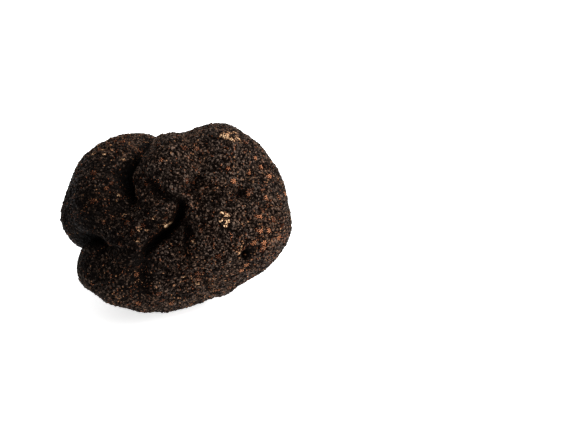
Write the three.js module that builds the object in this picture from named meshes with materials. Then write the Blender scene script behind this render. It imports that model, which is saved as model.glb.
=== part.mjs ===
// A black truffle: one solid fruiting body, lobed, cleft by folds and covered with low pyramid warts.
//
// Millimetres, +Z up. The truffle lies on the plane z = 0 on a small flat spot, +X is its longest way,
// and the origin is on that plane under the middle of its box.
//
// The skin is one closed form seen from a core inside it: for every direction from the core there is
// one radius, so no two parts of the skin can cross. Ellipsoid lobes blend into the plump shape, folds
// and dimples are carved out of it, and slow waves keep it from looking turned. Warts are then spread
// evenly over it, each one a low pyramid whose foot is shared with its neighbours.

import * as THREE from 'three';
import { ConvexHull } from 'three/addons/math/ConvexHull.js';

// ---- Driving dimensions -----------------------------------------------------------------------

const CORE_HEIGHT = 27;       // the core's height above the table
const LOBE_BLEND = 1.3;       // how softly one lobe runs into the next
const SKIN_RADIUS = 32;       // typical radius, which turns a way along the skin into an angle
const WART_PITCH = 2.95;      // from one wart's middle to the next, about twice a real wart's
const WART_HEIGHT = 0.9;      // from a wart's foot to its peak
const WART_UNEVEN = 0.3;      // how far one wart's height departs from the next, as a share
const FOLD_PITCH = 0.6;       // pitch in the depth of a fold, as a share of WART_PITCH
const FOLD_FULL_DEPTH = 4;    // depth of carving where warts are down to that pitch
const VALLEY_WIDTH = 7;       // half width of the shallow valley on both sides of a fold's cleft
const VALLEY_SHARE = 0.3;     // the valley's share of a fold's depth
const SPREAD_TRIES = 70000;   // places tried for a wart's middle, enough to leave no bare spot
const RELAX_STEPS = 3;        // rounds of moving each wart's middle to the middle of its foot
const FLIP_ROUNDS = 12;       // most rounds of turning edges between two triangles
const FLIP_GAIN = 0.02;       // how far past a half turn two opposite angles are before an edge turns
const CLOSEST = 0.78;         // nearest that two middles are spread, as a share of the pitch there
const SEED = 41;              // of the one random stream

// Each lobe's centre and half lengths. Each of them holds the core.
const LOBES = [
  { name: 'trunk', centre: [-1, 2.2, 28.2], radii: [28, 26.8, 30] },
  { name: 'right', centre: [14, -1, 31], radii: [24.1, 24, 22.4] },
  { name: 'shoulder', centre: [13.6, 4, 36.8], radii: [20, 22, 23.6] },
  { name: 'left', centre: [-15.8, 2, 30.4], radii: [21.1, 23, 20.7] },
  { name: 'crown', centre: [-14.6, 3, 37.3], radii: [19, 21, 18.8] },
  { name: 'middle', centre: [0, -3, 41.5], radii: [14, 21.5, 19] },
  { name: 'lower', centre: [-13, -6, 18.4], radii: [20, 20.6, 15] },
  { name: 'band', centre: [-8, -9, 30], radii: [14, 19.5, 14] },
  { name: 'rump', centre: [8, 10, 26], radii: [20, 20.5, 17] },
  { name: 'heel', centre: [-13, 9, 23], radii: [19, 20, 17] },
];

// Each fold's path over the skin as [longitude, latitude, depth], and the half width of its cleft on
// its left and right side. Longitude is measured from -Y towards +X and latitude up, in degrees.
const FOLDS = [
  {
    name: 'top', widths: [1.5, 3],
    path: [[170, 40, 0.5], [-172, 54, 2.5], [-150, 66, 4.5], [-114, 73.5, 5.2], [-74, 73.5, 6],
      [-60, 66, 6.3], [-57, 59.5, 7.2], [-53.5, 53.5, 7.2], [-42, 47.5, 6], [-34.5, 42, 3.5],
      [-27, 37.5, 1]],
  },
  {
    name: 'brow', widths: [1.8, 2.8],
    path: [[-42, 61, 1.6], [-21, 55.5, 3.2], [-8, 50, 3.6], [-0.5, 45.5, 3.6], [6, 43, 3.4],
      [11, 41.5, 3]],
  },
  {
    name: 'central', widths: [1.6, 1.6],
    path: [[11.5, 44, 2.5], [12.5, 41, 6], [11.5, 35, 7.2], [6.5, 28.5, 7.2], [0, 22.8, 7.2],
      [-7.5, 16.5, 7], [-12, 12, 6.5], [-15.5, 7, 4.5], [-16, 3, 2.5]],
  },
  {
    name: 'notch', widths: [1.8, 2],
    path: [[-112, -20, 0.5], [-92, -17, 3], [-79, -9.5, 5.2], [-70, 2, 6.8], [-60, 7, 6.6],
      [-51, 7, 4.5], [-44, 5.5, 2.2], [-31, 8, 1.6], [-20, 10.5, 1.8]],
  },
  {
    name: 'saddle', widths: [2, 2],
    path: [[14, 44.5, 2.2], [23, 50, 3.2], [33.5, 55, 3.6], [41, 57, 2.6], [50, 60, 0.5]],
  },
  {
    name: 'lap', widths: [4.2, 4.6],
    path: [[-14, 6, 3], [-15.5, 0, 3.4], [-18, -8, 3.4], [-20, -16, 3.4], [-21, -25, 2.8],
      [-21, -37, 0.5]],
  },
  {
    name: 'apron', widths: [2.6, 2.8],
    path: [[13, 31, 3], [17, 24, 4], [15, 14, 3.4], [12, 2, 2], [9.5, -9, 0.3]],
  },
  {
    name: 'crease', widths: [2, 2],
    path: [[52, 33, 0.5], [59, 34.5, 4], [67, 37, 2.4], [75, 39, 3], [84, 39, 0.4]],
  },
  {
    name: 'back', widths: [2.4, 2.4],
    path: [[-160, 48, 0.5], [-172, 30, 3.5], [178, 10, 5], [-170, -8, 4], [-150, -20, 1]],
  },
  {
    name: 'flank', widths: [2.8, 2.8],
    path: [[95, 28, 0.5], [108, 12, 2.5], [112, -6, 3], [105, -24, 1]],
  },
];
const FOLD_POINTS = 20;       // straight lengths that a fold's curve is measured in

// Shallow hollows, one small pit, and low swellings, which have a depth below zero.
const DIMPLES = [
  { name: 'cheek', at: [66, 21], depth: 1, width: 4.5 },
  { name: 'pit', at: [48.5, 2.5], depth: 3.4, width: 1.3 },
  { name: 'scar', at: [19, -15], depth: 0.9, width: 2.5 },
  { name: 'left cheek', at: [-84, 4], depth: -0.5, width: 4.5 },
  { name: 'waist', at: [-71, -9], depth: 1.4, width: 4.5 },
  { name: 'left hip', at: [-57, -26], depth: 1.4, width: 5 },
  { name: 'chin', at: [-21, -47], depth: -1.2, width: 6 },
  { name: 'under chin', at: [1, -66], depth: 0.7, width: 4.5 },
  { name: 'instep', at: [49, -68], depth: 0.6, width: 8 },
  { name: 'sole', at: [62, -58], depth: 0.8, width: 6 },
  { name: 'ankle', at: [72, -47], depth: -1.4, width: 4.5 },
  { name: 'under hip', at: [67, -27], depth: 0.7, width: 4.5 },
  { name: 'hip', at: [85, 2], depth: -1, width: 4.5 },
  { name: 'over hip', at: [94, 14], depth: 0.5, width: 4.5 },
  { name: 'knob', at: [94, 24], depth: -1.8, width: 5.2 },
  { name: 'right temple', at: [106, 35], depth: -0.5, width: 5 },
  { name: 'shoulder edge', at: [136, 61], depth: -1, width: 4.5 },
  { name: 'nape', at: [156, 63], depth: 0.6, width: 8 },
  { name: 'brim', at: [-150, 56], depth: -0.9, width: 7 },
  { name: 'left temple', at: [-96, 25], depth: 1, width: 6 },
];

// Slow swells of the skin: height, waves over the core's reach, the way they run, and their start.
const WAVES = [
  { height: 0.3, count: 9, along: [1, 0.3, 0.5], start: 0.4 },
  { height: 0.28, count: 10, along: [-0.4, 1, 0.2], start: 1.7 },
  { height: 0.26, count: 11, along: [0.2, -0.5, 1], start: 2.9 },
  { height: 0.16, count: 19, along: [1, -0.8, 0.3], start: 0.9 },
  { height: 0.15, count: 21, along: [0.3, 0.9, -0.7], start: 4.1 },
  { height: 0.14, count: 23, along: [-0.7, 0.2, 0.9], start: 5.2 },
];

// ---- The smooth form --------------------------------------------------------------------------

const core = new THREE.Vector3(0, 0, CORE_HEIGHT);

// The direction from the core at a longitude and latitude.
function towards(longitude, latitude) {
  const lon = THREE.MathUtils.degToRad(longitude);
  const lat = THREE.MathUtils.degToRad(latitude);
  return new THREE.Vector3(
    Math.sin(lon) * Math.cos(lat),
    -Math.cos(lon) * Math.cos(lat),
    Math.sin(lat),
  );
}

// How far a ray from the core runs before it leaves an ellipsoid that holds the core.
function reachOfLobe(lobe, direction) {
  const radii = new THREE.Vector3(...lobe.radii);
  const start = core.clone().sub(new THREE.Vector3(...lobe.centre)).divide(radii);
  const way = direction.clone().divide(radii);
  const a = way.dot(way);
  const b = way.dot(start);
  const c = start.dot(start) - 1;
  return (-b + Math.sqrt(b * b - a * c)) / a;
}

// The lobes' reaches, blended: the longest one, and a little more where two are alike.
function lobeRadius(direction) {
  const reaches = LOBES.map((lobe) => reachOfLobe(lobe, direction));
  const longest = Math.max(...reaches);
  const sum = reaches.reduce((total, reach) => total + Math.exp((reach - longest) / LOBE_BLEND), 0);
  return longest + LOBE_BLEND * Math.log(sum);
}

// A fold's path as a smooth curve of directions, with the depth at each of its points.
function foldCurve(fold) {
  const points = fold.path.map(([longitude, latitude]) => towards(longitude, latitude));
  const depths = fold.path.map((point) => point[2]);
  const curve = [];
  for (let step = 0; step <= FOLD_POINTS; step += 1) {
    const place = (step / FOLD_POINTS) * (points.length - 1);
    const before = Math.min(Math.floor(place), points.length - 2);
    const mix = (axis) => throughPoints(points.map((point) => point[axis]), before, place - before);
    curve.push({
      direction: new THREE.Vector3(mix('x'), mix('y'), mix('z')).normalize(),
      depth: Math.max(0, throughPoints(depths, before, place - before)),
    });
  }
  return curve;
}

// A Catmull-Rom curve through a row of numbers, carried on straight past both ends.
function throughPoints(values, before, t) {
  const p1 = values[before];
  const p2 = values[before + 1];
  const p0 = before > 0 ? values[before - 1] : 2 * p1 - p2;
  const p3 = before + 2 < values.length ? values[before + 2] : 2 * p2 - p1;
  const slope = p2 - p0;
  const bend = 2 * p0 - 5 * p1 + 4 * p2 - p3;
  const twist = 3 * p1 - p0 - 3 * p2 + p3;
  return 0.5 * (2 * p1 + slope * t + bend * t * t + twist * t * t * t);
}

// The straight lengths of a fold's curve, each with what its distance test needs.
function foldLengths(fold) {
  const curve = foldCurve(fold);
  return curve.slice(1).map((end, index) => {
    const start = curve[index];
    const way = end.direction.clone().sub(start.direction);
    const leftwards = start.direction.clone().cross(end.direction);
    return { start, end, way, leftwards, widths: fold.widths };
  });
}

const FOLD_LENGTHS = FOLDS.flatMap(foldLengths);

// A fold's cross section: a cleft in a wider, shallower valley.
function foldProfile(distance, width) {
  const cleft = Math.exp(-((distance / width) ** 2));
  const valley = Math.exp(-((distance / VALLEY_WIDTH) ** 2));
  return (1 - VALLEY_SHARE) * cleft + VALLEY_SHARE * valley;
}

// How deep one straight length of a fold cuts in a direction.
function lengthDepth(length, direction) {
  const { start, end, way, leftwards, widths } = length;
  const offset = direction.clone().sub(start.direction);
  const along = THREE.MathUtils.clamp(offset.dot(way) / way.lengthSq(), 0, 1);
  const distance = offset.addScaledVector(way, -along).length() * SKIN_RADIUS;
  const width = direction.dot(leftwards) > 0 ? widths[0] : widths[1];
  const depth = THREE.MathUtils.lerp(start.depth, end.depth, along);
  return depth * foldProfile(distance, width);
}

function foldDepth(direction) {
  return FOLD_LENGTHS.reduce((deepest, length) => Math.max(deepest, lengthDepth(length, direction)), 0);
}

function dimpleDepth(direction) {
  return DIMPLES.reduce((total, dimple) => {
    const distance = direction.angleTo(towards(...dimple.at)) * SKIN_RADIUS;
    return total + dimple.depth * Math.exp(-((distance / dimple.width) ** 2));
  }, 0);
}

function waveHeight(direction) {
  return WAVES.reduce((total, wave) => {
    const along = new THREE.Vector3(...wave.along).normalize();
    return total + wave.height * Math.sin(wave.count * direction.dot(along) + wave.start);
  }, 0);
}

// The point of the skin in a direction, lifted off the smooth form, and never below the table.
function skinPoint(direction, lift = 0) {
  const form = lobeRadius(direction) - foldDepth(direction) - dimpleDepth(direction);
  const radius = form + waveHeight(direction) + lift;
  const toTable = direction.z < 0 ? -CORE_HEIGHT / direction.z : Infinity;
  return direction.clone().multiplyScalar(Math.min(radius, toTable)).add(core);
}

function directionOf(point) {
  return point.clone().sub(core).normalize();
}

// ---- Where the warts are ----------------------------------------------------------------------

// A small seeded random stream of numbers from 0 to 1.
function randomStream(seed) {
  let state = seed;
  return () => {
    state = (state + 0x6d2b79f5) | 0;
    let mixed = Math.imul(state ^ (state >>> 15), 1 | state);
    mixed = (mixed + Math.imul(mixed ^ (mixed >>> 7), 61 | mixed)) ^ mixed;
    return ((mixed ^ (mixed >>> 14)) >>> 0) / 2 ** 32;
  };
}

function randomDirection(random) {
  const z = 2 * random() - 1;
  const turn = 2 * Math.PI * random();
  const flat = Math.sqrt(1 - z * z);
  return new THREE.Vector3(flat * Math.cos(turn), flat * Math.sin(turn), z);
}

// Warts crowd together in the depth of a fold.
function pitchAt(direction) {
  const inFold = Math.min(1, foldDepth(direction) / FOLD_FULL_DEPTH);
  return WART_PITCH * THREE.MathUtils.lerp(1, FOLD_PITCH, inFold);
}

// A box grid of points, to find the ones near a place.
class PointGrid {
  constructor(size) {
    this.size = size;
    this.cells = new Map();
  }

  cellOf(point) {
    return [point.x, point.y, point.z].map((value) => Math.floor(value / this.size));
  }

  add(point) {
    const key = this.cellOf(point).join();
    if (!this.cells.has(key)) this.cells.set(key, []);
    this.cells.get(key).push(point);
  }

  hasWithin(point, distance) {
    const [i, j, k] = this.cellOf(point);
    for (let step = 0; step < 27; step += 1) {
      const key = [i - 1 + (step % 3), j - 1 + (Math.floor(step / 3) % 3), k - 1 + Math.floor(step / 9)];
      const near = this.cells.get(key.join()) ?? [];
      if (near.some((other) => other.distanceTo(point) < distance)) return true;
    }
    return false;
  }
}

// Middles of warts at random places on the skin, none nearer to another than the pitch there allows.
function spreadWarts(random) {
  const grid = new PointGrid(WART_PITCH);
  const middles = [];
  for (let tries = 0; tries < SPREAD_TRIES; tries += 1) {
    const direction = randomDirection(random);
    const point = skinPoint(direction);
    if (!grid.hasWithin(point, CLOSEST * pitchAt(direction))) {
      grid.add(point);
      middles.push(direction);
    }
  }
  return middles;
}

// ---- Triangles between the middles ------------------------------------------------------------

// The hull of the directions joins each one to its neighbours, in triangles that face outwards.
function hullTriangles(directions) {
  const order = new Map(directions.map((direction, index) => [direction, index]));
  return new ConvexHull().setFromPoints(directions).faces.map((face) => {
    const first = face.edge;
    return [first, first.next, first.next.next].map((edge) => order.get(edge.head().point));
  });
}

// For each directed edge, the triangle on its left.
function edgeMap(triangles) {
  const edges = new Map();
  triangles.forEach(([a, b, c], index) => {
    edges.set(`${a},${b}`, index);
    edges.set(`${b},${c}`, index);
    edges.set(`${c},${a}`, index);
  });
  return edges;
}

function angleAt(corner, one, other) {
  return one.clone().sub(corner).angleTo(other.clone().sub(corner));
}

// Whether a triangle's corners run anticlockwise, seen from outside.
function facesOut(a, b, c) {
  const flat = 1e-7;
  return a.dot(b.clone().cross(c)) > flat;
}

// Turns the edge between two triangles where that makes them less slender, as on the steep sides of
// folds. No triangle gets two turned edges in one round.
function turnEdges(triangles, directions, points) {
  const edges = edgeMap(triangles);
  const touched = new Set();
  for (const [edge, left] of edges) {
    const [a, b] = edge.split(',').map(Number);
    const right = edges.get(`${b},${a}`);
    if (a > b || touched.has(left) || touched.has(right)) continue;
    const c = triangles[left].find((index) => index !== a && index !== b);
    const d = triangles[right].find((index) => index !== a && index !== b);
    const opposite = angleAt(points[c], points[a], points[b]) + angleAt(points[d], points[a], points[b]);
    if (opposite < Math.PI + FLIP_GAIN || edges.has(`${c},${d}`) || edges.has(`${d},${c}`)) continue;
    const [da, db, dc, dd] = [a, b, c, d].map((index) => directions[index]);
    if (!facesOut(dc, dd, db) || !facesOut(dd, dc, da)) continue;
    triangles[left] = [c, d, b];
    triangles[right] = [d, c, a];
    touched.add(left);
    touched.add(right);
  }
  return touched.size > 0;
}

function joinMiddles(directions) {
  const points = directions.map((direction) => skinPoint(direction));
  const triangles = hullTriangles(directions);
  for (let round = 0; round < FLIP_ROUNDS; round += 1) {
    if (!turnEdges(triangles, directions, points)) break;
  }
  return triangles;
}

// The place where three warts meet, between their middles.
function meetingPlaces(triangles, directions) {
  const points = directions.map((direction) => skinPoint(direction));
  return triangles.map(([a, b, c]) => {
    const middle = points[a].clone().add(points[b]).add(points[c]).divideScalar(3);
    return directionOf(middle);
  });
}

// Moves each wart's middle to the middle of its foot.
function relax(directions) {
  const triangles = joinMiddles(directions);
  const places = meetingPlaces(triangles, directions).map((direction) => skinPoint(direction));
  const sums = directions.map(() => new THREE.Vector3());
  const counts = directions.map(() => 0);
  triangles.forEach((triangle, index) => {
    for (const corner of triangle) {
      sums[corner].add(places[index]);
      counts[corner] += 1;
    }
  });
  return sums.map((sum, index) => directionOf(sum.divideScalar(counts[index])));
}

// ---- The warty skin ---------------------------------------------------------------------------

// How high a wart stands: less where warts crowd together.
function wartHeight(direction) {
  return WART_HEIGHT * (pitchAt(direction) / WART_PITCH);
}

// A closed surface of one low pyramid for each middle. Two neighbours' pyramids meet in the groove
// between the places where three warts meet. The smooth form runs half way up the warts.
function wartySkin(random) {
  let middles = spreadWarts(random);
  for (let step = 0; step < RELAX_STEPS; step += 1) {
    middles = relax(middles);
  }
  const triangles = joinMiddles(middles);
  const places = meetingPlaces(triangles, middles);
  const peaks = middles.map((direction) => {
    const uneven = WART_UNEVEN * (2 * random() - 1);
    return skinPoint(direction, (0.5 + uneven) * wartHeight(direction));
  });
  const feet = places.map((direction) => skinPoint(direction, -0.5 * wartHeight(direction)));
  return closedSurface([...peaks, ...feet], pyramidSides(triangles, middles.length));
}

// Each directed edge from one middle to the next gives one side of the first one's pyramid.
function pyramidSides(triangles, wartCount) {
  const edges = edgeMap(triangles);
  const sides = [];
  for (const [edge, left] of edges) {
    const [from, to] = edge.split(',').map(Number);
    const right = edges.get(`${to},${from}`);
    sides.push(from, wartCount + right, wartCount + left);
  }
  return sides;
}

// The surface as a mesh, moved so that the middle of its box is over the origin.
function closedSurface(points, indices) {
  const geometry = new THREE.BufferGeometry().setFromPoints(points);
  geometry.setIndex(indices);
  geometry.computeBoundingBox();
  const middle = geometry.boundingBox.getCenter(new THREE.Vector3());
  geometry.translate(-middle.x, -middle.y, 0);
  geometry.computeVertexNormals();
  return geometry;
}

// ---- The part ---------------------------------------------------------------------------------

function makeTruffle() {
  const skin = new THREE.MeshStandardMaterial({ color: 0x261d18, roughness: 0.85, metalness: 0 });
  const truffle = new THREE.Mesh(wartySkin(randomStream(SEED)), skin);
  truffle.name = 'truffle';
  return truffle;
}

const part = new THREE.Group();
part.add(makeTruffle());

export default part;
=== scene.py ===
"""A whole black truffle, lying on a pale floor in plain soft light.

The skin's form is the one that the CAD source builds: lobes, folds and swells round a core, worked out
from the same named values. Here it carries the warts at their real size, as one closed mesh.
Lengths of the form are in millimetres until the mesh is made. Everything else is in metres.
"""

import math

import bpy
import numpy as np
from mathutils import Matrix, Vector, geometry, kdtree


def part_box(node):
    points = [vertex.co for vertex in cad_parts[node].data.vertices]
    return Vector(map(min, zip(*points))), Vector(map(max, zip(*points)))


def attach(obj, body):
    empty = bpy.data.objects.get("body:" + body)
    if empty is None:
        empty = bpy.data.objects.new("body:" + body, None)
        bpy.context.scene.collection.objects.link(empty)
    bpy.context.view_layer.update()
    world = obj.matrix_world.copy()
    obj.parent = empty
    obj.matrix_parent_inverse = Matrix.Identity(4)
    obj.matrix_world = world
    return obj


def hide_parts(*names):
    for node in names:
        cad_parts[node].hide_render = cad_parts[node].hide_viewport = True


MM = 0.001
TINY = 1e-9  # keeps a division off zero, and tells two points of a plane apart
FLATTEST = 1e-8  # least volume that three directions span, for an edge to be turned into their triangle

# ---- The form, in millimetres -----------------------------------------------------------------

CORE_HEIGHT = 27.0  # the core's height above the table
LOBE_BLEND = 1.3  # how softly one lobe runs into the next
SKIN_RADIUS = 32.0  # typical radius, which turns a way along the skin into an angle
VALLEY_WIDTH = 7.0  # half width of the shallow valley on both sides of a fold's cleft
VALLEY_SHARE = 0.3  # the valley's share of a fold's depth
FOLD_POINTS = 20  # straight lengths that a fold's curve is measured in

# Each lobe's name, centre and half lengths. Each of them holds the core.
LOBES = [
    ("trunk", (-1, 2.2, 28.2), (28, 26.8, 30)),
    ("right", (14, -1, 31), (24.1, 24, 22.4)),
    ("shoulder", (13.6, 4, 36.8), (20, 22, 23.6)),
    ("left", (-15.8, 2, 30.4), (21.1, 23, 20.7)),
    ("crown", (-14.6, 3, 37.3), (19, 21, 18.8)),
    ("middle", (0, -3, 41.5), (14, 21.5, 19)),
    ("lower", (-13, -6, 18.4), (20, 20.6, 15)),
    ("band", (-8, -9, 30), (14, 19.5, 14)),
    ("rump", (8, 10, 26), (20, 20.5, 17)),
    ("heel", (-13, 9, 23), (19, 20, 17)),
]

# Each fold's name, the half width of its cleft on its left and right side, and its path over the skin
# as (longitude, latitude, depth). Longitude is measured from -Y towards +X and latitude up, in degrees.
# All but the last two follow dark lines of the photo. Their points were picked there, turned
# into degrees by a program, and then moved.
FOLDS = [
    ("top", (1.5, 3.0),
     [(170, 40, 0.5), (-172, 54, 2.5), (-150, 66, 4.5), (-114, 73.5, 5.2), (-74, 73.5, 6),
      (-60, 66, 6.3), (-57, 59.5, 7.2), (-53.5, 53.5, 7.2), (-42, 47.5, 6),
      (-34.5, 42, 3.5), (-27, 37.5, 1)]),
    ("brow", (1.8, 2.8),
     [(-42, 61, 1.6), (-21, 55.5, 3.2), (-8, 50, 3.6), (-0.5, 45.5, 3.6), (6, 43, 3.4), (11, 41.5, 3)]),
    ("central", (1.6, 1.6),
     [(11.5, 44, 2.5), (12.5, 41, 6), (11.5, 35, 7.2), (6.5, 28.5, 7.2), (0, 22.8, 7.2),
      (-7.5, 16.5, 7), (-12, 12, 6.5), (-15.5, 7, 4.5), (-16, 3, 2.5)]),
    ("notch", (1.8, 2.0),
     [(-112, -20, 0.5), (-92, -17, 3), (-79, -9.5, 5.2), (-70, 2, 6.8), (-60, 7, 6.6),
      (-51, 7, 4.5), (-44, 5.5, 2.2), (-31, 8, 1.6), (-20, 10.5, 1.8)]),
    ("saddle", (2.0, 2.0),
     [(14, 44.5, 2.2), (23, 50, 3.2), (33.5, 55, 3.6), (41, 57, 2.6), (50, 60, 0.5)]),
    ("lap", (4.2, 4.6),
     [(-14, 6, 3), (-15.5, 0, 3.4), (-18, -8, 3.4), (-20, -16, 3.4), (-21, -25, 2.8), (-21, -37, 0.5)]),
    ("apron", (2.6, 2.8),
     [(13, 31, 3), (17, 24, 4), (15, 14, 3.4), (12, 2, 2), (9.5, -9, 0.3)]),
    ("crease", (2.0, 2.0),
     [(52, 33, 0.5), (59, 34.5, 4), (67, 37, 2.4), (75, 39, 3), (84, 39, 0.4)]),
    ("back", (2.4, 2.4),
     [(-160, 48, 0.5), (-172, 30, 3.5), (178, 10, 5), (-170, -8, 4), (-150, -20, 1)]),
    ("flank", (2.8, 2.8), [(95, 28, 0.5), (108, 12, 2.5), (112, -6, 3), (105, -24, 1)]),
]

# Shallow hollows, one small pit, and low swellings, which have a depth below zero: name, longitude
# and latitude, depth, width. The first three and the right temple were placed one by one. A program
# fitted the others to the truffle's outline in the photo, and some of them were then changed.
DIMPLES = [
    ("cheek", (66, 21), 1.0, 4.5),
    ("pit", (48.5, 2.5), 3.4, 1.3),
    ("scar", (19, -15), 0.9, 2.5),
    ("left cheek", (-84, 4), -0.5, 4.5),
    ("waist", (-71, -9), 1.4, 4.5),
    ("left hip", (-57, -26), 1.4, 5.0),
    ("chin", (-21, -47), -1.2, 6.0),
    ("under chin", (1, -66), 0.7, 4.5),
    ("instep", (49, -68), 0.6, 8.0),
    ("sole", (62, -58), 0.8, 6.0),
    ("ankle", (72, -47), -1.4, 4.5),
    ("under hip", (67, -27), 0.7, 4.5),
    ("hip", (85, 2), -1.0, 4.5),
    ("over hip", (94, 14), 0.5, 4.5),
    ("knob", (94, 24), -1.8, 5.2),
    ("right temple", (106, 35), -0.5, 5.0),
    ("shoulder edge", (136, 61), -1.0, 4.5),
    ("nape", (156, 63), 0.6, 8.0),
    ("brim", (-150, 56), -0.9, 7.0),
    ("left temple", (-96, 25), 1.0, 6.0),
]

# Slow swells of the skin: height, waves over the core's reach, the way they run, and their start.
WAVES = [
    (0.30, 9, (1, 0.3, 0.5), 0.4),
    (0.28, 10, (-0.4, 1, 0.2), 1.7),
    (0.26, 11, (0.2, -0.5, 1), 2.9),
    (0.16, 19, (1, -0.8, 0.3), 0.9),
    (0.15, 21, (0.3, 0.9, -0.7), 4.1),
    (0.14, 23, (-0.7, 0.2, 0.9), 5.2),
]

# ---- The warts, in millimetres ----------------------------------------------------------------

WART_PITCH = 1.78  # from one wart's middle to the next, on open skin
FOLD_PITCH = 0.62  # pitch in the depth of a fold, as a share of WART_PITCH
FOLD_FULL_DEPTH = 4.0  # depth of carving where the warts are down to that pitch
CLOSEST = 0.68  # nearest that two middles are spread, as a share of the pitch there
SPREAD_TRIES = 120000  # places tried for a wart's middle, enough to leave no bare spot
RELAX_STEPS = 1  # rounds of moving each wart's middle to the middle of its foot
FLIP_ROUNDS = 12  # most rounds of turning edges between two triangles
FLIP_GAIN = 0.02  # how far past a half turn two opposite angles are before an edge turns, in radians
WART_HEIGHT = 0.20  # a wart's top above the smooth form
WART_UNEVEN = 0.10  # how far one wart's top departs from that
WART_LEAN = 0.20  # slope of a wart's top
PETAL_UNEVEN = 0.15  # how far one petal's crest departs from its wart's top
CRACK_DEPTH = 0.20  # the cracks between petals below the petals' crests
APEX_DIP = 0.5  # how far the apex is below its wart's top, as a share of CRACK_DEPTH
APEX_SHIFT = 0.10  # how far the apex is off the wart's middle, as a share of the pitch
RUST_FILLING = 0.16  # how far bright rust fills a wart's cracks
GROOVE_DEPTH = 0.17  # the grooves between warts below the smooth form
CRACK_REACH = (0.75, 0.92)  # where a crack's outer end is, as a share of the way to the wart's corner
CREST_REACH = (0.50, 0.72)  # where a petal's crest is, as a share of the way to the wart's side
SEED = 7


def unit(vectors):
    return vectors / np.linalg.norm(vectors, axis=-1, keepdims=True)


def towards(longitude, latitude):
    """Directions from the core at longitudes and latitudes in degrees."""
    lon, lat = np.radians(longitude), np.radians(latitude)
    return np.stack([np.sin(lon) * np.cos(lat), -np.cos(lon) * np.cos(lat), np.sin(lat)], axis=-1)


def lobe_reach(directions, centre, radii):
    """How far rays from the core run before they leave an ellipsoid that holds it."""
    start = (np.array([0, 0, CORE_HEIGHT]) - centre) / radii
    ways = directions / radii
    a = (ways * ways).sum(axis=-1)
    b = ways @ start
    return (-b + np.sqrt(b * b - a * (start @ start - 1))) / a


def lobe_radius(directions):
    """The lobes' reaches, blended: the longest one, and a little more where two are alike."""
    reaches = np.stack([lobe_reach(directions, np.array(c), np.array(r)) for _, c, r in LOBES])
    longest = reaches.max(axis=0)
    return longest + LOBE_BLEND * np.log(np.exp((reaches - longest) / LOBE_BLEND).sum(axis=0))


def fold_curve(path):
    """A fold's path as a smooth curve: directions, and the depth at each of them."""
    path = np.array(path, float)
    rows = np.column_stack([towards(path[:, 0], path[:, 1]), path[:, 2]])
    rows = np.vstack([2 * rows[0] - rows[1], rows, 2 * rows[-1] - rows[-2]])
    place = np.linspace(0, len(path) - 1, FOLD_POINTS + 1)
    before = np.minimum(place.astype(int), len(path) - 2)
    t = (place - before)[:, None]
    p0, p1, p2, p3 = (rows[before + step] for step in range(4))
    bend = 2 * p0 - 5 * p1 + 4 * p2 - p3
    twist = 3 * p1 - p0 - 3 * p2 + p3
    curve = 0.5 * (2 * p1 + (p2 - p0) * t + bend * t**2 + twist * t**3)
    return unit(curve[:, :3]), np.maximum(curve[:, 3], 0)


def fold_depth(directions):
    """How deep the folds cut: the deepest of all their straight lengths."""
    deepest = np.zeros(len(directions))
    for _, widths, path in FOLDS:
        points, depths = fold_curve(path)
        for a, b, depth_a, depth_b in zip(points, points[1:], depths, depths[1:]):
            way = b - a
            along = np.clip((directions - a) @ way / (way @ way), 0, 1)
            distance = np.linalg.norm(directions - a - along[:, None] * way, axis=1) * SKIN_RADIUS
            width = np.where(directions @ np.cross(a, b) > 0, *widths)
            cleft = (1 - VALLEY_SHARE) * np.exp(-((distance / width) ** 2))
            valley = VALLEY_SHARE * np.exp(-((distance / VALLEY_WIDTH) ** 2))
            depth = depth_a + (depth_b - depth_a) * along
            deepest = np.maximum(deepest, depth * (cleft + valley))
    return deepest


def way_along_skin(directions, place):
    """The way along the skin to a place given as (longitude, latitude)."""
    cosine = np.clip(directions @ towards(*place), -1, 1)
    return np.arccos(cosine) * SKIN_RADIUS


def dimple_depth(directions):
    return sum(
        depth * np.exp(-((way_along_skin(directions, place) / width) ** 2))
        for _, place, depth, width in DIMPLES
    )


def wave_height(directions):
    return sum(
        height * np.sin(count * (directions @ unit(np.array(along, float))) + start)
        for height, count, along, start in WAVES
    )


def skin_points(directions, lift=0.0):
    """Points of the skin, lifted off the smooth form, and never below the table."""
    radius = lobe_radius(directions) - fold_depth(directions) - dimple_depth(directions)
    radius = radius + wave_height(directions) + lift
    down = np.minimum(directions[:, 2], -TINY)
    to_table = np.where(directions[:, 2] < 0, -CORE_HEIGHT / down, np.inf)
    points = directions * np.minimum(radius, to_table)[:, None]
    return points + (0, 0, CORE_HEIGHT)


def directions_of(points):
    return unit(points - (0, 0, CORE_HEIGHT))


# ---- Where the warts are ----------------------------------------------------------------------


def pitch_share(directions):
    """Warts crowd together in the depth of a fold."""
    in_fold = np.minimum(1, fold_depth(directions) / FOLD_FULL_DEPTH)
    return 1 + (FOLD_PITCH - 1) * in_fold


def spread_warts(rng):
    """Middles of warts at random places, none nearer to another than the pitch there allows."""
    tries = unit(rng.normal(size=(SPREAD_TRIES, 3)))
    points = skin_points(tries)
    spacing = CLOSEST * WART_PITCH * pitch_share(tries)
    tree = kdtree.KDTree(len(points))
    for index, point in enumerate(points):
        tree.insert(point, index)
    tree.balance()
    free = np.ones(len(points), bool)
    middles = []
    for index, point in enumerate(points):
        if free[index]:
            middles.append(index)
            for _, other, _ in tree.find_range(point, spacing[index]):
                free[other] = False
    return tries[middles]


def spanned(a, b, c):
    """The volume that directions span, above zero where they run anticlockwise seen from outside."""
    return (a * np.cross(b, c)).sum(axis=1)


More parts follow.
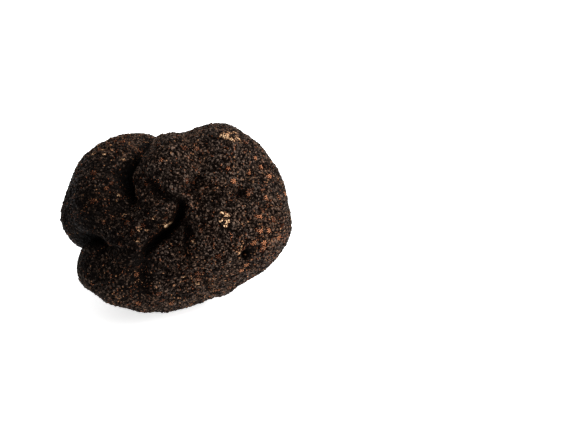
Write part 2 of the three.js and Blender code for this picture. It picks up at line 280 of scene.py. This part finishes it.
def hull_triangles(directions):
    """Joins each direction to its neighbours, in triangles that run anticlockwise seen from outside.

    The directions are laid out on a plane, seen from the last one of them, and joined there. The last
    one then closes the rim.
    """
    pole = directions[-1]
    aside = (0.3, 0.5, 0.8)
    east = unit(np.cross(pole, aside))
    north = np.cross(pole, east)
    rest = directions[:-1]
    flat = np.stack([rest @ east, rest @ north], axis=1) / (1 - rest @ pole)[:, None]
    joined = geometry.delaunay_2d_cdt([Vector(point) for point in flat], [], [], 0, TINY)
    triangles = np.array(joined[2])
    turned = spanned(*(directions[corner] for corner in triangles.T)) < 0
    triangles[turned] = triangles[turned][:, ::-1]
    edges = {(int(p), int(q)) for t in triangles for p, q in zip(t, np.roll(t, -1))}
    rim = sorted((q, p) for p, q in edges if (q, p) not in edges)
    fan = [(p, q, len(directions) - 1) for p, q in rim]
    return np.vstack([triangles, fan])


def paired_edges(triangles):
    """Each edge once, from its lower end: both ends, and the half edges on its left and right side.

    A half edge is a place in triangles.ravel(): its start, with its end next in the same triangle.
    """
    start = triangles.ravel()
    end = np.roll(triangles, -1, axis=1).ravel()
    order = np.lexsort((start > end, np.maximum(start, end), np.minimum(start, end)))
    left, right = order[0::2], order[1::2]
    return start[left], end[left], left, right


def corner_angle(corner, one, other):
    to_one, to_other = unit(one - corner), unit(other - corner)
    return np.arccos(np.clip((to_one * to_other).sum(axis=1), -1, 1))


def turn_edges(triangles, directions, points):
    """Turns the edges between two triangles that this makes less slender, as on the sides of folds.

    No triangle gets two turned edges in one round. Gives the number of turned edges.
    """
    a, b, left, right = paired_edges(triangles)
    facing = np.roll(triangles, -2, axis=1).ravel()
    c, d = facing[left], facing[right]
    opposite = corner_angle(points[c], points[a], points[b])
    opposite += corner_angle(points[d], points[a], points[b])
    slender = opposite > math.pi + FLIP_GAIN
    valid = spanned(directions[c], directions[d], directions[b]) > FLATTEST
    valid &= spanned(directions[d], directions[c], directions[a]) > FLATTEST
    chosen = np.nonzero(slender & valid)[0]
    touched = np.zeros(len(triangles), bool)
    turned = 0
    for edge in chosen[np.argsort(-opposite[chosen])]:
        one, other = left[edge] // 3, right[edge] // 3
        if touched[one] or touched[other]:
            continue
        triangles[one] = c[edge], d[edge], b[edge]
        triangles[other] = d[edge], c[edge], a[edge]
        touched[one] = touched[other] = True
        turned += 1
    return turned


def join_middles(directions):
    points = skin_points(directions)
    triangles = hull_triangles(directions)
    for _ in range(FLIP_ROUNDS):
        if turn_edges(triangles, directions, points) == 0:
            break
    return triangles


def meeting_places(triangles, directions):
    """The directions where three warts meet, between their middles."""
    return directions_of(skin_points(directions)[triangles].mean(axis=1))


def relax(directions):
    """Moves each wart's middle to the middle of its foot."""
    triangles = join_middles(directions)
    places = skin_points(meeting_places(triangles, directions))
    sums = np.zeros_like(directions)
    counts = np.zeros(len(directions))
    for corner in triangles.T:
        np.add.at(sums, corner, places)
        np.add.at(counts, corner, 1)
    return directions_of(sums / counts[:, None])


# ---- Places on the skin that stand out --------------------------------------------------------

# These places were picked in the photo, and turned into degrees by a program. Their reaches and
# strengths were chosen one by one.

# Warts whose dark skin is worn off, showing pale flesh: (longitude, latitude), reach in mm, strength.
WORN_PLACES = [
    ((94, 58), 3.0, 0.40),
]

# Single petals worn the same way.
FLECK_PLACES = [
    ((36.9, 25.2), 0.8, 0.95),
    ((40.2, 23.5), 0.9, 1.0),
    ((38.6, 21.6), 0.9, 1.0),
    ((39.4, 29.1), 0.8, 0.8),
    ((41.1, 27.1), 0.8, 0.8),
    ((84.9, 62.1), 1.5, 1.0),
    ((84.3, 58.4), 1.0, 0.9),
    ((94.6, 59.5), 1.0, 0.7),
    ((101.3, 56.7), 1.0, 0.7),
    ((92.7, 55.6), 1.0, 0.85),
    ((89.6, 54.4), 1.0, 0.75),
    ((-1.3, 26.7), 1.3, 0.95),
    ((3, 28.6), 1.1, 0.85),
    ((-18.8, 23.3), 1.0, 0.75),
    ((-13.8, 22.9), 1.0, 0.75),
    ((-19, 16.2), 1.0, 0.7),
    ((-35, 30.2), 0.9, 0.65),
    ((-9.7, 31.1), 0.9, 0.65),
    ((-1.6, 31.9), 0.8, 0.6),
    ((-6.4, 26.1), 0.8, 0.6),
    ((16.3, 7.5), 0.9, 0.75),
    ((19.7, 13.8), 0.8, 0.65),
    ((11.8, -16.3), 1.3, 0.7),
    ((22.4, -23), 1.2, 0.65),
    ((-73.8, 59.2), 0.9, 0.6),
    ((-85.7, 51.6), 1.0, 0.6),
    ((-92.2, 51.2), 1.0, 0.6),
    ((-94.9, 53.9), 1.0, 0.6),
    ((-95, 45.2), 1.0, 0.7),
    ((-104.2, 46.7), 1.0, 0.7),
    ((-46.8, 40.4), 0.9, 0.65),
    ((-44.7, 36.1), 0.8, 0.6),
    ((43.5, 4.6), 1.0, 0.62),
    ((44.2, 1.3), 1.0, 0.58),
    ((42.1, 6.6), 0.9, 0.55),
    ((44.2, 7.1), 0.9, 0.6),
]

# Skin where the cracks are rusty and some petals ochre, the same way.
RUST_PLACES = [
    ((85, 31), 6.0, 0.9),
    ((87, 23), 8.0, 0.7),
    ((74, 48), 5.0, 0.5),
    ((60, 12), 7.5, 1.0),
    ((48, 9), 4.0, 0.8),
    ((69, 8), 6.0, 0.8),
    ((61, -8), 9.0, 0.6),
    ((39, 74), 7.0, 0.45),
    ((41, 43), 5.0, 0.5),
    ((-56, 32), 6.0, 0.5),
    ((-30, -15), 8.0, 0.7),
    ((25, -24), 14.0, 0.75),
    ((-1, 29), 4.0, 0.6),
    ((-108, 56), 10.0, 0.8),
]

# The wart nearest to each of these places has bright rust in its cracks: (longitude, latitude).
STAR_PLACES = [
    (84.3, 31.7), (86.9, 37), (77.7, 40.5), (85.4, 43.1), (57.1, 42.9), (61.9, 32.5), (71, 26.6),
    (86.3, 20.3), (58.6, 18.2), (60.7, 12.3), (56.7, 12.2), (50.9, 8.2), (58.6, 6.1), (67.7, 5.3),
    (48.5, -5.3), (49, -9.9),
]

# Skin painted darker, the same way: partly a darker skin on the left lobe, and partly painted shade
# there, beside the central fold and the lap, and in the pit.
SHADED_AND_DARK_PLACES = [
    ((-64, 14), 24.0, 1.0),
    ((-28, 9), 18.0, 0.9),
    ((-7, 22), 12.0, 0.7),
    ((49, 3), 2.2, 2.0),
    ((-20, -20), 8.0, 0.6),
]

DULL_SHARE = 0.015  # share of the warts that have dull rust in their cracks, anywhere
DULL_RANGE = (0.2, 0.5)  # how bright that rust is
STAR_SHARE = 0.06  # share of the warts that have bright rust in their cracks, where rust is full
STAR_RANGE = (0.5, 0.85)  # how bright that rust is
STAR_SHADE = 1.6  # how much darker in tone the petals are there
LONE_SHARE = 0.17  # share of the single cracks that are rusty, where rust is full
LONE_RANGE = (0.25, 0.8)  # how bright that rust is
RUST_ANYWHERE = 0.35  # rust that counts for single cracks where there is none
OCHRE_SHARE = 0.09  # share of the petals that are ochre, where rust is full
OCHRE_ANYWHERE = 0.03  # rust that counts for ochre petals where there is none
FOLD_SHADOW_DEPTH = 6.0  # depth of carving where the painted shadow in a fold is quite black, in mm
APEX_CRACK = 0.74  # how far the apex counts as a crack
WART_TONE = 0.15  # what a wart's own chance adds to the tone of its petals
PETAL_TONE = 0.85  # what a petal's own chance adds to its tone
CRACK_TONE = 0.3  # what a wart's own chance adds to the tone of its apex and cracks
WORN_RANGE = (0.6, 1.3)  # how unevenly the warts of a worn place are worn
CRACK_WORN = 0.7  # how worn a crack is, as a share of the petals beside it


def placed(directions, places):
    """How strongly the strongest of some places marks the skin."""
    marks = [
        strength * np.exp(-((way_along_skin(directions, place) / reach) ** 2))
        for place, reach, strength in places
    ]
    return np.max(marks, axis=0)


def nearest(directions, place):
    return int(np.argmax(directions @ towards(*place)))


# ---- The warty skin ---------------------------------------------------------------------------


def warty_skin():
    """Vertices in mm, triangles and attributes of a closed skin of warts, each cracked into petals.

    Each wart has an apex, from which cracks run to its corners, where it meets two neighbours. Between
    two cracks stands a petal, highest at its crest. Grooves run round the wart from corner to corner.
    """
    rng = np.random.default_rng(SEED)
    middles = spread_warts(rng)
    for _ in range(RELAX_STEPS):
        middles = relax(middles)
    triangles = join_middles(middles)
    corners = meeting_places(triangles, middles)
    sides = wart_sides(triangles)
    owners = triangles.ravel()
    count = len(owners)

    to_corner = corners[np.arange(count) // 3] - middles[owners]
    to_side = (corners[sides[:, 0] // 3] + corners[sides[:, 1] // 3]) / 2 - middles[owners]
    to_crack_end = to_corner * rng.uniform(*CRACK_REACH, (count, 1))
    to_crest = to_side * rng.uniform(*CREST_REACH, (count, 1))
    size = pitch_share(middles)
    shift = rng.normal(size=middles.shape) * size[:, None] * APEX_SHIFT * WART_PITCH / SKIN_RADIUS
    places = [
        unit(middles + shift),
        corners,
        unit(middles[owners] + to_crack_end),
        unit(middles[owners] + to_crest),
    ]

    heights = wart_heights(rng, size, corners, owners, to_crack_end, to_crest)
    attributes = wart_attributes(rng, places, owners)
    filling = RUST_FILLING * attributes["star"] * attributes["crack"]
    points = skin_points(np.vstack(places), heights + filling)
    faces = wart_faces(owners, sides, [len(kind) for kind in places])
    return points, faces, attributes


def wart_heights(rng, size, corners, owners, to_crack_end, to_crest):
    """Heights off the smooth form, of the apexes, the corners, the ends of cracks and the crests."""
    top = (WART_HEIGHT + WART_UNEVEN * rng.uniform(-1, 1, len(size))) * size
    lean = rng.normal(size=(len(size), 3)) * WART_LEAN * SKIN_RADIUS
    crack_slope = (to_crack_end * lean[owners]).sum(axis=1)
    crest_slope = (to_crest * lean[owners]).sum(axis=1)
    uneven = PETAL_UNEVEN * rng.uniform(-1, 1, len(owners))
    return np.concatenate([
        top - APEX_DIP * CRACK_DEPTH * size,
        -GROOVE_DEPTH * pitch_share(corners),
        top[owners] + crack_slope - CRACK_DEPTH * size[owners],
        top[owners] + crest_slope + uneven * size[owners],
    ])


def wart_sides(triangles):
    """For each half edge, from a wart to its neighbour: itself, and the half edge that comes back."""
    _, _, left, right = paired_edges(triangles)
    sides = np.zeros((triangles.size, 2), int)
    sides[left] = np.stack([left, right], axis=1)
    sides[right] = np.stack([right, left], axis=1)
    return sides


def wart_faces(owners, sides, counts):
    """Five triangles for each petal: two at the apex, and three down to the groove."""
    here, back = sides.T
    first_corner, first_crack, first_crest = np.cumsum(counts)[:3]
    apex = owners
    crest = first_crest + here
    corner_left = first_corner + here // 3
    corner_right = first_corner + back // 3
    crack_left = first_crack + here
    crack_right = first_crack + back // 3 * 3 + (back + 1) % 3
    return np.vstack([
        np.stack([apex, crack_right, crest], axis=1),
        np.stack([apex, crest, crack_left], axis=1),
        np.stack([crack_right, corner_right, crest], axis=1),
        np.stack([crest, corner_right, corner_left], axis=1),
        np.stack([crest, corner_left, crack_left], axis=1),
    ])


def sprinkled(rng, count, share, value_range):
    """Values out of a range for a random share of count things, and 0 for the others."""
    return (rng.uniform(0, 1, count) < share) * rng.uniform(*value_range, count)


def star_rust(rng, apexes):
    """How bright the rust is in the cracks of each wart."""
    bright = sprinkled(rng, len(apexes), STAR_SHARE * placed(apexes, RUST_PLACES), STAR_RANGE)
    bright[[nearest(apexes, place) for place in STAR_PLACES]] = 1
    return bright


def lone_rust(rng, cracks):
    """How bright the rust is in each single crack."""
    share = LONE_SHARE * np.maximum(RUST_ANYWHERE, placed(cracks, RUST_PLACES))
    return sprinkled(rng, len(cracks), share, LONE_RANGE)


def ochre_petals(rng, crests):
    share = OCHRE_SHARE * (placed(crests, RUST_PLACES) + OCHRE_ANYWHERE)
    return rng.uniform(0, 1, len(crests)) < share


def in_a_row(places, *values):
    """Values of the apexes, corners, cracks and crests, joined. A number counts for all of its kind."""
    rows = [np.broadcast_to(value, len(kind)) for value, kind in zip(values, places)]
    return np.concatenate(rows)


def wart_attributes(rng, places, owners):
    """What the material reads at each vertex."""
    apexes, _, cracks, crests = places
    directions = np.vstack(places)
    tone = rng.uniform(0, 1, len(apexes))
    dull = sprinkled(rng, len(apexes), DULL_SHARE, DULL_RANGE)
    bright = star_rust(rng, apexes)
    star = np.maximum(dull, bright)
    lone = lone_rust(rng, cracks)
    petal_tone = WART_TONE * tone[owners] + PETAL_TONE * rng.uniform(0, 1, len(crests))
    petal_tone -= STAR_SHADE * bright[owners]
    ochre = ochre_petals(rng, crests) * (1 - bright[owners])
    worn = placed(apexes, WORN_PLACES) * rng.uniform(*WORN_RANGE, len(apexes))
    petal_worn = np.maximum(worn[owners], placed(crests, FLECK_PLACES))
    crack_worn = CRACK_WORN * np.maximum(worn[owners], placed(cracks, FLECK_PLACES))
    return {
        "crack": in_a_row(places, APEX_CRACK, 1, 1, 0),
        # how deep a fold is, for the painted shadow in its depth
        "fold": np.minimum(1, fold_depth(directions) / FOLD_SHADOW_DEPTH),
        # painted shade, and in part a darker skin, at the dark places
        "shaded_and_dark": placed(directions, SHADED_AND_DARK_PLACES),
        "rust": placed(directions, RUST_PLACES),
        "star": in_a_row(places, star, 0, np.maximum(star[owners], lone), star[owners]),
        "ochre": in_a_row(places, 0, 0, 0, ochre),
        "tone": in_a_row(places, CRACK_TONE * tone, 0, CRACK_TONE * tone[owners], petal_tone),
        "worn": in_a_row(places, worn, 0, crack_worn, petal_worn),
    }


def build_truffle():
    """The warty skin as a mesh in metres, moved so that its middle is over the CAD truffle's middle."""
    points, faces, attributes = warty_skin()
    low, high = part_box("truffle")
    middle = (points.min(axis=0) + points.max(axis=0)) / 2
    points = (points - (middle[0], middle[1], 0)) * MM
    points += ((low.x + high.x) / 2, (low.y + high.y) / 2, 0)
    mesh = bpy.data.meshes.new("truffle_skin")
    mesh.from_pydata(points.tolist(), [], faces.tolist())
    for name, values in attributes.items():
        layer = mesh.attributes.new(name, "FLOAT", "POINT")
        layer.data.foreach_set("value", np.ascontiguousarray(values, np.float32))
    mesh.update()
    truffle = bpy.data.objects.new("truffle_skin", mesh)
    bpy.context.scene.collection.objects.link(truffle)
    mesh.materials.append(peridium())
    return truffle


# ---- Materials --------------------------------------------------------------------------------


class Nodes:
    """A material's node tree, with short calls that make and join its nodes."""

    def __init__(self, name):
        self.material = bpy.data.materials.new(name)
        self.material.use_nodes = True
        self.tree = self.material.node_tree
        self.shader = self.tree.nodes["Principled BSDF"]
        self.coordinates = self.tree.nodes.new("ShaderNodeTexCoord").outputs["Object"]

    def put(self, socket, value):
        """Joins an output to a socket, or sets a plain value on it."""
        if isinstance(value, bpy.types.NodeSocket):
            self.tree.links.new(value, socket)
        else:
            socket.default_value = value

    def attribute(self, name):
        node = self.tree.nodes.new("ShaderNodeAttribute")
        node.attribute_name = name
        return node.outputs["Fac"]

    def noise(self, size_mm, detail=3.0, roughness=0.6):
        """Noise whose patches are about size_mm across."""
        node = self.tree.nodes.new("ShaderNodeTexNoise")
        self.put(node.inputs["Vector"], self.coordinates)
        node.inputs["Scale"].default_value = 1 / (size_mm * MM)
        node.inputs["Detail"].default_value = detail
        node.inputs["Roughness"].default_value = roughness
        return node.outputs["Fac"]

    def crumpled(self, size_mm, amount_mm):
        """Places shifted this way and that, so that cells there get crooked edges."""
        noise = self.tree.nodes.new("ShaderNodeTexNoise")
        self.put(noise.inputs["Vector"], self.coordinates)
        noise.inputs["Scale"].default_value = 1 / (size_mm * MM)
        shift = self.tree.nodes.new("ShaderNodeVectorMath")
        shift.operation = "MULTIPLY_ADD"
        self.put(shift.inputs[0], noise.outputs["Color"])
        shift.inputs[1].default_value = (2 * amount_mm * MM,) * 3
        self.put(shift.inputs[2], self.coordinates)
        return shift.outputs[0]

    def cells(self, size_mm, places):
        """Cells about size_mm across: the way to a cell's middle, and two random values of it."""
        node = self.tree.nodes.new("ShaderNodeTexVoronoi")
        self.put(node.inputs["Vector"], places)
        node.inputs["Scale"].default_value = 1 / (size_mm * MM)
        parts = self.tree.nodes.new("ShaderNodeSeparateColor")
        self.put(parts.inputs[0], node.outputs["Color"])
        return node.outputs["Distance"], parts.outputs[0], parts.outputs[1]

    def math(self, operation, *values):
        node = self.tree.nodes.new("ShaderNodeMath")
        node.operation = operation
        for socket, value in zip(node.inputs, values):
            self.put(socket, value)
        return node.outputs[0]

    def step(self, value, start, end, low=0.0, high=1.0):
        """A smooth step of value from low, at start, to high, at end."""
        node = self.tree.nodes.new("ShaderNodeMapRange")
        node.interpolation_type = "SMOOTHSTEP"
        settings = {"From Min": start, "From Max": end, "To Min": low, "To Max": high}
        self.put(node.inputs["Value"], value)
        for name, setting in settings.items():
            node.inputs[name].default_value = setting
        return node.outputs[0]

    def mix(self, share, first, second):
        node = self.tree.nodes.new("ShaderNodeMix")
        node.data_type = "RGBA"
        self.put(node.inputs["Factor"], share)
        self.put(node.inputs["A"], first)
        self.put(node.inputs["B"], second)
        return node.outputs["Result"]

    def bump(self, height, strength, distance_mm, normal=None):
        node = self.tree.nodes.new("ShaderNodeBump")
        node.inputs["Strength"].default_value = strength
        node.inputs["Distance"].default_value = distance_mm * MM
        self.put(node.inputs["Height"], height)
        if normal is not None:
            self.put(node.inputs["Normal"], normal)
        return node.outputs["Normal"]


def colour(red, green, blue):
    return (red, green, blue, 1.0)


BLACK = colour(0.0020, 0.0009, 0.0005)
# Painted shadow, for the depth of the folds and the dark places
SHADOW_AND_DARK_SKIN_BLACK = colour(0.0006, 0.0004, 0.0003)
COOL_BROWN = colour(0.150, 0.106, 0.082)
WARM_BROWN = colour(0.172, 0.105, 0.072)
CRACK_BROWN = colour(0.070, 0.018, 0.008)
DULL_RUST = colour(0.34, 0.11, 0.045)
RUST = colour(0.88, 0.37, 0.18)
OCHRE = colour(0.38, 0.185, 0.09)
PALE_FLESH = colour(0.95, 0.68, 0.41)

GRAIN = 0.72  # mm across one of the grains that a petal's skin breaks into
FINE_GRAIN = 0.42  # mm across the grains within those
CRUMPLE = (0.9, 0.22)  # mm across and mm deep, of the bends in the grains' edges
RAGGED = 0.5  # how far the edge of a coloured spot follows the grains
WARMTH_PATCH = 5.0  # mm across a patch of warmer or cooler brown
RUST_WARMTH = 0.15  # how much warmer the brown is where rust is full

# The tone of the skin is a sum of chances, less what darkens it.
GRAIN_TONE = 0.46  # a grain's part in the tone
FINE_TONE = 0.44  # a fine grain's part in the tone
SKIN_TONE = 0.24  # the part of the vertices' own tone
SHADED_AND_DARK_TONE = 0.14  # how much darker in tone the dark places are, partly by painted shade
FOLD_SHADE = 0.4  # how much darker in tone painted shade makes the depth of a fold
FOLD_SIDES = (0.25, 0.85)  # where that shade starts and is full, along the fold attribute
BROWN_TONES = (0.26, 0.90)  # up to the first tone the skin is black, and from the second on brown
BROWN_POWER = 2.8  # the power of the rise in between, which keeps brown rarer than black
WARM_TURN = (0.40, 0.66)  # where the brown turns from cool to warm

# How far along the crack attribute, which is 0 on a petal's crest and 1 in its cracks, the skin turns:
BLACK_TURN = (0.56, 0.86)  # black, in a bare crack
BROWN_TURN = (0.62, 0.74)  # brown, on both sides of the rust
RUST_TURN = (0.79, 0.87)  # rusty
BOLD_RAYS = 0.085  # how much farther from its crack bright rust reaches than dull rust

# How far along the star attribute, from 0 for no rust to 1 for the brightest:
BROWN_SHOWS = (0.05, 0.25)  # the brown on both sides of the rust comes out
RUST_SHOWS = (0.12, 0.25)  # the rust comes out
RUST_BRIGHTENS = (0.40, 0.75)  # the rust turns from dull to bright
RAYS_WIDEN = (0.60, 0.90)  # the rust reaches farther from its crack

OCHRE_TURN = (0.50, 0.66)  # where a petal turns ochre
WORN_TURN = (0.38, 0.46)  # where worn skin shows the flesh under it
PALE_TURN = (0.45, 0.75)  # where that flesh turns from ochre to pale
SHADED_AND_DARK_COVER = 0.5  # how much of its colour the skin loses to painted shade and darker skin, where the dark places' attribute is 1
FOLD_SHADOW_TURN = (0.48, 0.92)  # where the painted shadow in a fold turns black, along the fold attribute

GLOSS_RANGE = (0.30, 0.62)  # roughness of the glossiest and the dullest grain
SHINE = 0.02  # specular level of the rind, which is matte
PORE_SIZE = 0.35  # mm across the bumps of the finest relief
PORE_DEPTH = 0.06  # mm that they stand out
PORE_BUMP = 0.5  # strength of that relief, from 0 to 1
GRAIN_DEPTH = 0.25  # mm that a grain's middle stands out from its edge
GRAIN_BUMP = 0.8  # strength of the grains' relief, from 0 to 1


def black_brown(nodes, grain, fine_grain):
    """The bare skin: brown and black by grains and petals, darker by painted shade, and black in the
    cracks.
    """
    # Painted shade: the tone darkens in the depth of the folds and at the dark places.
    fold_shade = nodes.step(nodes.attribute("fold"), *FOLD_SIDES, 0.0, FOLD_SHADE)
    shade = nodes.math("MULTIPLY_ADD", nodes.attribute("shaded_and_dark"), SHADED_AND_DARK_TONE, fold_shade)
    tone = nodes.math("MULTIPLY_ADD", grain, GRAIN_TONE, nodes.math("MULTIPLY", fine_grain, FINE_TONE))
    tone = nodes.math("MULTIPLY_ADD", nodes.attribute("tone"), SKIN_TONE, tone)
    tone = nodes.math("SUBTRACT", tone, shade)
    lightness = nodes.math("POWER", nodes.step(tone, *BROWN_TONES), BROWN_POWER)
    warmth = nodes.math("MULTIPLY_ADD", nodes.attribute("rust"), RUST_WARMTH, nodes.noise(WARMTH_PATCH))
    brown = nodes.mix(nodes.step(warmth, *WARM_TURN), COOL_BROWN, WARM_BROWN)
    skin = nodes.mix(lightness, BLACK, brown)
    return nodes.mix(nodes.step(nodes.attribute("crack"), *BLACK_TURN), skin, BLACK)


def with_rust(nodes, skin):
    """Rust in the cracks, with brown on both sides of it."""
    star = nodes.attribute("star")
    ray = nodes.math("ADD", nodes.attribute("crack"), nodes.step(star, *RAYS_WIDEN, 0.0, BOLD_RAYS))
    beside_crack = nodes.math("MULTIPLY", nodes.step(ray, *BROWN_TURN), nodes.step(star, *BROWN_SHOWS))
    in_crack = nodes.math("MULTIPLY", nodes.step(ray, *RUST_TURN), nodes.step(star, *RUST_SHOWS))
    rust = nodes.mix(nodes.step(star, *RUST_BRIGHTENS), DULL_RUST, RUST)
    return nodes.mix(in_crack, nodes.mix(beside_crack, skin, CRACK_BROWN), rust)


def with_worn_spots(nodes, skin, ragged):
    worn = nodes.math("ADD", nodes.attribute("worn"), ragged)
    flesh = nodes.mix(nodes.step(worn, *PALE_TURN), OCHRE, PALE_FLESH)
    return nodes.mix(nodes.step(worn, *WORN_TURN), skin, flesh)


def with_dark_skin_and_painted_shade(nodes, skin):
    """Paints shade on the dark places, which are partly a darker skin, and paints shadow black into the
    depth of the folds.
    """
    skin = nodes.mix(nodes.math("MULTIPLY", nodes.attribute("shaded_and_dark"), SHADED_AND_DARK_COVER), skin, SHADOW_AND_DARK_SKIN_BLACK)
    return nodes.mix(nodes.step(nodes.attribute("fold"), *FOLD_SHADOW_TURN), skin, SHADOW_AND_DARK_SKIN_BLACK)


def peridium():
    """The rind: grainy black-brown warts, rust in some cracks, specks of ochre and pale flesh, and
    painted shade in the folds and the dark places.
    """
    nodes = Nodes("peridium")
    places = nodes.crumpled(*CRUMPLE)
    middle_way, grain, grain_gloss = nodes.cells(GRAIN, places)
    _, fine_grain, _ = nodes.cells(FINE_GRAIN, places)
    ragged = nodes.math("MULTIPLY_ADD", grain, RAGGED, -RAGGED / 2)
    ochre = nodes.math("ADD", nodes.attribute("ochre"), ragged)

    skin = black_brown(nodes, grain, fine_grain)
    skin = nodes.mix(nodes.step(ochre, *OCHRE_TURN), skin, OCHRE)
    skin = with_rust(nodes, skin)
    skin = with_worn_spots(nodes, skin, ragged)
    skin = with_dark_skin_and_painted_shade(nodes, skin)

    pore_noise = nodes.noise(PORE_SIZE, detail=4.0, roughness=0.7)
    pores = nodes.bump(pore_noise, PORE_BUMP, PORE_DEPTH)
    domes = nodes.bump(nodes.math("MULTIPLY", middle_way, -1.0), GRAIN_BUMP, GRAIN_DEPTH, pores)
    nodes.put(nodes.shader.inputs["Base Color"], skin)
    nodes.put(nodes.shader.inputs["Roughness"], nodes.step(grain_gloss, 0.0, 1.0, *GLOSS_RANGE))
    nodes.put(nodes.shader.inputs["Normal"], domes)
    nodes.shader.inputs["Specular IOR Level"].default_value = SHINE
    return nodes.material


# ---- Floor, light and camera ------------------------------------------------------------------

WHITE = colour(1.0, 1.0, 1.0)
FLOOR_DARKER = colour(0.90, 0.90, 0.90)
FLOOR_LIGHTER = colour(0.93, 0.93, 0.93)
FLOOR_PATCH = 40.0  # mm across a lighter or darker patch of the floor
FLOOR_GLOW = 0.70  # light that the floor gives off itself, because the photo's ground is burnt out
FLOOR_SIZE = 4.0
FLOOR_GAP = 0.05 * MM  # the floor is this far below the truffle, so that no two faces share a plane

PIXEL = 0.33 * MM  # what one of the picture's pixels covers at the truffle
PICTURE_MIDDLE = (285.0, 215.0)
TRUFFLE_MIDDLE = (176.5, 217.5)  # the pixel that shows the point SIGHT_HEIGHT above the origin
SIGHT_HEIGHT = 30.0 * MM
CAMERA_ELEVATION = math.radians(25)
LENS = 85.0
SENSOR = 36.0
PICTURE_WIDTH = 570.0

ROOM_LIGHT = 0.34  # strength of the light that comes from all around
SUN_WIDTH = 60  # degrees across a far light in the sky, which makes its shadows soft

# Far lights: name, azimuth from -Y towards +X and elevation in degrees, and strength.
SUNS = [
    ("key", 98, 56, 3.6),
    ("fill", 74, 12, 3.4),
    ("rim", -140, 46, 0.8),
]


def floor_paint():
    nodes = Nodes("pale_floor")
    shade = nodes.step(nodes.noise(FLOOR_PATCH), 0.0, 1.0)
    nodes.put(nodes.shader.inputs["Base Color"], nodes.mix(shade, FLOOR_DARKER, FLOOR_LIGHTER))
    nodes.shader.inputs["Roughness"].default_value = 0.9
    nodes.shader.inputs["Specular IOR Level"].default_value = 0.1
    nodes.shader.inputs["Emission Color"].default_value = WHITE
    nodes.shader.inputs["Emission Strength"].default_value = FLOOR_GLOW
    return nodes.material


def build_floor():
    half = FLOOR_SIZE / 2
    corners = [(-half, -half), (half, -half), (half, half), (-half, half)]
    mesh = bpy.data.meshes.new("floor")
    mesh.from_pydata([(x, y, -FLOOR_GAP) for x, y in corners], [], [(0, 1, 2, 3)])
    mesh.materials.append(floor_paint())
    floor = bpy.data.objects.new("floor", mesh)
    bpy.context.scene.collection.objects.link(floor)


def add_sun(name, azimuth, elevation, strength):
    light = bpy.data.lights.new(name, "SUN")
    light.energy = strength
    light.angle = math.radians(SUN_WIDTH)
    lamp = bpy.data.objects.new(name, light)
    lamp.rotation_euler = Vector(towards(azimuth, elevation)).to_track_quat("Z", "Y").to_euler()
    bpy.context.scene.collection.objects.link(lamp)


def light_scene():
    """A white room, and far lights from high right, from low right in front, and weakly from behind."""
    world = bpy.data.worlds.new("white_room")
    world.use_nodes = True
    background = world.node_tree.nodes["Background"]
    background.inputs["Color"].default_value = WHITE
    background.inputs["Strength"].default_value = ROOM_LIGHT
    bpy.context.scene.world = world
    for name, azimuth, elevation, strength in SUNS:
        add_sun(name, azimuth, elevation, strength)


def set_camera():
    """Looks down at the truffle so that it lies left of the picture's middle."""
    focal = LENS / SENSOR * PICTURE_WIDTH
    distance = focal * PIXEL
    back = Vector((0, -math.cos(CAMERA_ELEVATION), math.sin(CAMERA_ELEVATION)))
    up = Vector((0, math.sin(CAMERA_ELEVATION), math.cos(CAMERA_ELEVATION)))
    across = (PICTURE_MIDDLE[0] - TRUFFLE_MIDDLE[0]) * PIXEL
    above = (TRUFFLE_MIDDLE[1] - PICTURE_MIDDLE[1]) * PIXEL
    aim = Vector((across, 0, SIGHT_HEIGHT)) + above * up
    data = bpy.data.cameras.new("camera")
    data.lens = LENS
    data.sensor_width = SENSOR
    data.clip_start = 0.01
    camera = bpy.data.objects.new("camera", data)
    camera.location = aim + distance * back
    camera.rotation_euler = (-back).to_track_quat("-Z", "Y").to_euler()
    bpy.context.scene.collection.objects.link(camera)
    bpy.context.scene.camera = camera
    bpy.context.scene.view_settings.view_transform = "Standard"


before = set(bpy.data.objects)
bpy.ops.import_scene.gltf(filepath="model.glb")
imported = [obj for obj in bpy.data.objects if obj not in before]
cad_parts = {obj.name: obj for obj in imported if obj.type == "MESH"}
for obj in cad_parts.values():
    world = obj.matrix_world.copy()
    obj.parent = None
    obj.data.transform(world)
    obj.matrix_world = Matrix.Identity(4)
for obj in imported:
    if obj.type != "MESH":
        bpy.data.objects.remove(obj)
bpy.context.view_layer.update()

truffle = build_truffle()
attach(truffle, "root")
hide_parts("truffle")

build_floor()
light_scene()
set_camera()
